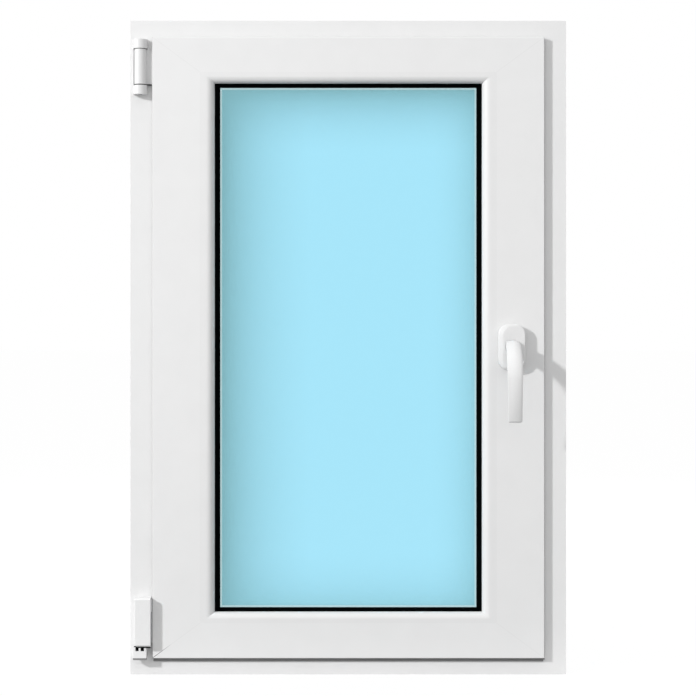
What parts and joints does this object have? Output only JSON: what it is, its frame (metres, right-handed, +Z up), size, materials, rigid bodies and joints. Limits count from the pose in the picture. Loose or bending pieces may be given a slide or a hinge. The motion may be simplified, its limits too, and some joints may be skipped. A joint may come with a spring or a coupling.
{
  "type": "tilt and turn window",
  "caption": "White single-sash tilt and turn window with a fixed outer frame, double glazing, corner hinges and a turning lever handle.",
  "frame": {"origin": "middle of the sill's underside, half way through the frame's depth", "axes": "+X to the right and +Y to the outside as seen from the room, +Z up"},
  "size_m": [0.6, 0.15, 0.9],
  "materials": {
    "white_profile": "smooth white extruded plastic",
    "black_seal": "black rubber gasket",
    "window_glass": "clear float glass, pale blue",
    "spacer_metal": "mill-finish spacer bar",
    "hinge_steel": "zinc-plated steel",
    "handle_enamel": "white enamelled casting",
    "hinge_enamel": "white enamelled hinge parts",
    "cap_plastic": "moulded white caps"
  },
  "bodies": {
    "window": {"bead_bottom": "white_profile", "bead_handle_side": "white_profile", "bead_hinge_side": "white_profile", "bead_top": "white_profile", "drain_cap_left": "cap_plastic", "drain_cap_right": "cap_plastic", "frame_head": "white_profile", "frame_hinge_jamb": "white_profile", "frame_lock_jamb": "white_profile", "frame_seal": "black_seal", "frame_sill": "white_profile", "glass_inner_pane": "window_glass", "glass_outer_pane": "window_glass", "handle_rose": "handle_enamel", "inner_gasket": "black_seal", "lower_hinge_arm": "hinge_steel", "lower_hinge_bearing": "hinge_enamel", "lower_hinge_cover": "hinge_enamel", "lower_hinge_pivot": "hinge_steel", "lower_hinge_washer": "black_seal", "outer_gasket": "black_seal", "sash_bottom_rail": "white_profile", "sash_handle_stile": "white_profile", "sash_hinge_stile": "white_profile", "sash_seal": "black_seal", "sash_top_rail": "white_profile", "spacer_bar": "spacer_metal", "upper_hinge_bracket": "hinge_enamel", "upper_hinge_knuckle": "hinge_enamel", "upper_hinge_pin": "hinge_steel"},
    "handle": {"handle_lever": "handle_enamel", "handle_spindle": "hinge_steel"}
  },
  "joints": [
    {"name": "handle_turn", "type": "hinge", "parent": "window", "child": "handle", "pos_m": [0.2238, -0.044, 0.4507], "axis": [0, 1, 0], "range_deg": [0, 180]}
  ]
}
